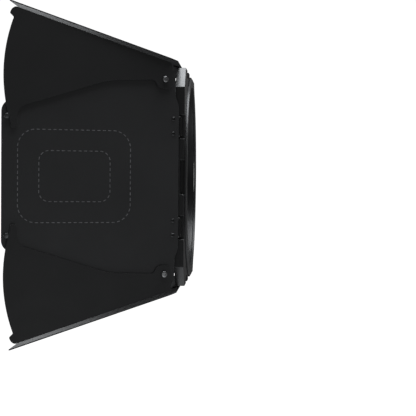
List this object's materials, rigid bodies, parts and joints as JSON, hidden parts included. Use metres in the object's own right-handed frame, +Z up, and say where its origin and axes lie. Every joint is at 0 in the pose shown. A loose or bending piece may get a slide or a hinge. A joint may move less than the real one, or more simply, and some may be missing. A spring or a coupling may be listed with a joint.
{
  "type": "barn door attachment",
  "caption": "Folding barn door for a round studio spotlight: square frame with chamfered corners, hinged leaves and pivoting fan-shaped wings, opened out.",
  "frame": {"origin": "centre of the rear face of the mounting ring, on the beam axis", "axes": "+Y back towards the lamp along the beam axis, -Y the way the light goes, +Z up, +X the near side"},
  "size_m": [0.4746, 0.2401, 0.4622],
  "materials": {
    "leaf_paint": "fine matt black powder coat on sheet aluminium",
    "frame_paint": "satin black anodised aluminium",
    "ring_plate": "satin black anodised aluminium, worn at the edge",
    "nylon": "matt black nylon",
    "bright_steel": "brushed stainless steel",
    "black_steel": "dark zinc plated steel"
  },
  "bodies": {
    "frame": {"frame": "frame_paint", "mounting_ring": "ring_plate", "ring_screw_1": "black_steel", "ring_screw_2": "black_steel", "ring_screw_3": "black_steel", "ring_screw_4": "black_steel", "near_hinge_lug_1": "frame_paint", "near_hinge_lug_2": "frame_paint", "near_hinge_pin_1": "bright_steel", "near_hinge_pin_2": "bright_steel", "far_hinge_lug_1": "frame_paint", "far_hinge_lug_2": "frame_paint", "far_hinge_pin_1": "bright_steel", "far_hinge_pin_2": "bright_steel", "top_hinge_lug_1": "frame_paint", "top_hinge_lug_2": "frame_paint", "top_hinge_pin_1": "bright_steel", "top_hinge_pin_2": "bright_steel", "bottom_hinge_lug_1": "frame_paint", "bottom_hinge_lug_2": "frame_paint", "bottom_hinge_pin_1": "bright_steel", "bottom_hinge_pin_2": "bright_steel"},
    "near_leaf": {"near_leaf": "leaf_paint", "near_hinge_knuckle_1": "black_steel", "near_hinge_knuckle_2": "black_steel", "near_upper_pivot_screw": "black_steel", "near_upper_pivot_nut": "black_steel", "near_upper_friction_washer": "nylon", "near_upper_spring_washer": "bright_steel", "near_upper_guide_button": "black_steel", "near_lower_pivot_screw": "black_steel", "near_lower_pivot_nut": "black_steel", "near_lower_friction_washer": "nylon", "near_lower_spring_washer": "bright_steel", "near_lower_guide_button": "black_steel"},
    "near_upper_wing": {"near_upper_wing": "leaf_paint"},
    "near_lower_wing": {"near_lower_wing": "leaf_paint"},
    "far_leaf": {"far_leaf": "leaf_paint", "far_hinge_knuckle_1": "black_steel", "far_hinge_knuckle_2": "black_steel", "far_upper_pivot_screw": "black_steel", "far_upper_pivot_nut": "black_steel", "far_upper_friction_washer": "nylon", "far_upper_spring_washer": "bright_steel", "far_upper_guide_button": "black_steel", "far_lower_pivot_screw": "black_steel", "far_lower_pivot_nut": "black_steel", "far_lower_friction_washer": "nylon", "far_lower_spring_washer": "bright_steel", "far_lower_guide_button": "black_steel"},
    "far_upper_wing": {"far_upper_wing": "leaf_paint"},
    "far_lower_wing": {"far_lower_wing": "leaf_paint"},
    "top_leaf": {"top_leaf": "leaf_paint", "top_hinge_knuckle_1": "black_steel", "top_hinge_knuckle_2": "black_steel"},
    "bottom_leaf": {"bottom_leaf": "leaf_paint", "bottom_hinge_knuckle_1": "black_steel", "bottom_hinge_knuckle_2": "black_steel"}
  },
  "joints": [
    {"name": "near_leaf_close", "type": "hinge", "parent": "frame", "child": "near_leaf", "pos_m": [0.15, -0.0113, 0], "axis": [0, 0, -1], "range_deg": [0, 108.3]},
    {"name": "near_upper_wing_fold", "type": "hinge", "parent": "near_leaf", "child": "near_upper_wing", "pos_m": [0.16729, -0.02949, 0.1333], "axis": [0.9494, 0.314, 0], "range_deg": [0, 18]},
    {"name": "near_lower_wing_fold", "type": "hinge", "parent": "near_leaf", "child": "near_lower_wing", "pos_m": [0.16729, -0.02949, -0.1333], "axis": [-0.9494, -0.314, 0], "range_deg": [0, 18]},
    {"name": "far_leaf_close", "type": "hinge", "parent": "frame", "child": "far_leaf", "pos_m": [-0.15, -0.0113, 0], "axis": [0, 0, 1], "range_deg": [0, 102.1]},
    {"name": "far_upper_wing_fold", "type": "hinge", "parent": "far_leaf", "child": "far_upper_wing", "pos_m": [-0.16729, -0.02949, 0.1333], "axis": [0.9494, -0.314, 0], "range_deg": [0, 18]},
    {"name": "far_lower_wing_fold", "type": "hinge", "parent": "far_leaf", "child": "far_lower_wing", "pos_m": [-0.16729, -0.02949, -0.1333], "axis": [-0.9494, 0.314, 0], "range_deg": [0, 18]},
    {"name": "top_leaf_open", "type": "hinge", "parent": "frame", "child": "top_leaf", "pos_m": [0, -0.0113, 0.15], "axis": [-1, 0, 0], "range_deg": [0, 70]},
    {"name": "bottom_leaf_open", "type": "hinge", "parent": "frame", "child": "bottom_leaf", "pos_m": [0, -0.0113, -0.15], "axis": [1, 0, 0], "range_deg": [0, 70]}
  ],
  "couplings": [
    {"joint": "near_upper_wing_fold", "follows": "near_leaf_close", "ratio": 0.1662},
    {"joint": "near_lower_wing_fold", "follows": "near_leaf_close", "ratio": 0.1662},
    {"joint": "far_upper_wing_fold", "follows": "far_leaf_close", "ratio": 0.1762},
    {"joint": "far_lower_wing_fold", "follows": "far_leaf_close", "ratio": 0.1762}
  ]
}
